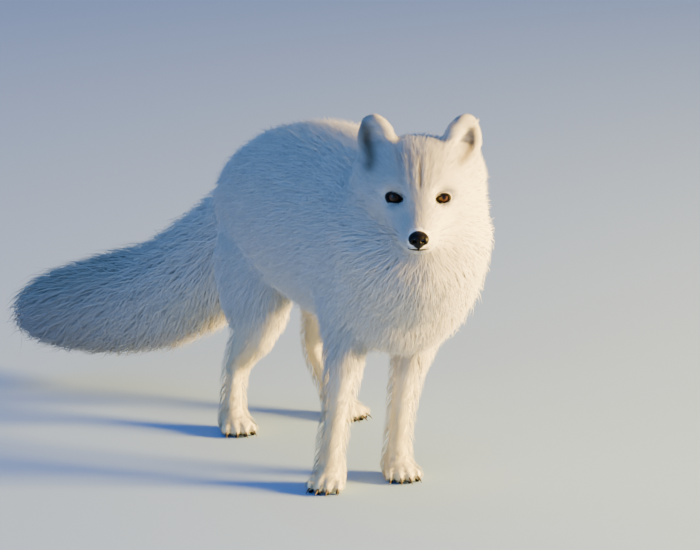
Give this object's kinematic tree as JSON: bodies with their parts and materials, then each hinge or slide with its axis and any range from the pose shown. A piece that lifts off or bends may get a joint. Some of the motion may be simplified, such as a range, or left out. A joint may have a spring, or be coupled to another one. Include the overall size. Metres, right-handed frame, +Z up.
{
  "type": "arctic fox figure",
  "caption": "Life-size still figure of an arctic fox in white winter coat, standing with its head turned and its brush held low to one side.",
  "frame": {"origin": "on the floor, under the middle of the figure's box", "axes": "+X forward along the trunk, +Y to the animal's left, +Z up"},
  "size_m": [0.6945, 0.2818, 0.3634],
  "materials": {
    "winter_coat": "long soft white fur",
    "nose_leather": "black, moist and finely pebbled",
    "eye": "wet amber-brown eye with a dark pupil"
  },
  "bodies": {
    "root": {"head": "winter_coat", "lower_jaw": "winter_coat", "ear_left": "winter_coat", "ear_right": "winter_coat", "neck": "winter_coat", "trunk": "winter_coat", "tail": "winter_coat", "foreleg_left": "winter_coat", "foreleg_right": "winter_coat", "forepaw_left": "winter_coat", "forepaw_right": "winter_coat", "hindleg_left": "winter_coat", "hindleg_right": "winter_coat", "hindpaw_left": "winter_coat", "hindpaw_right": "winter_coat", "nose": "nose_leather", "eye_left": "eye", "eye_right": "eye"}
  },
  "joints": []
}
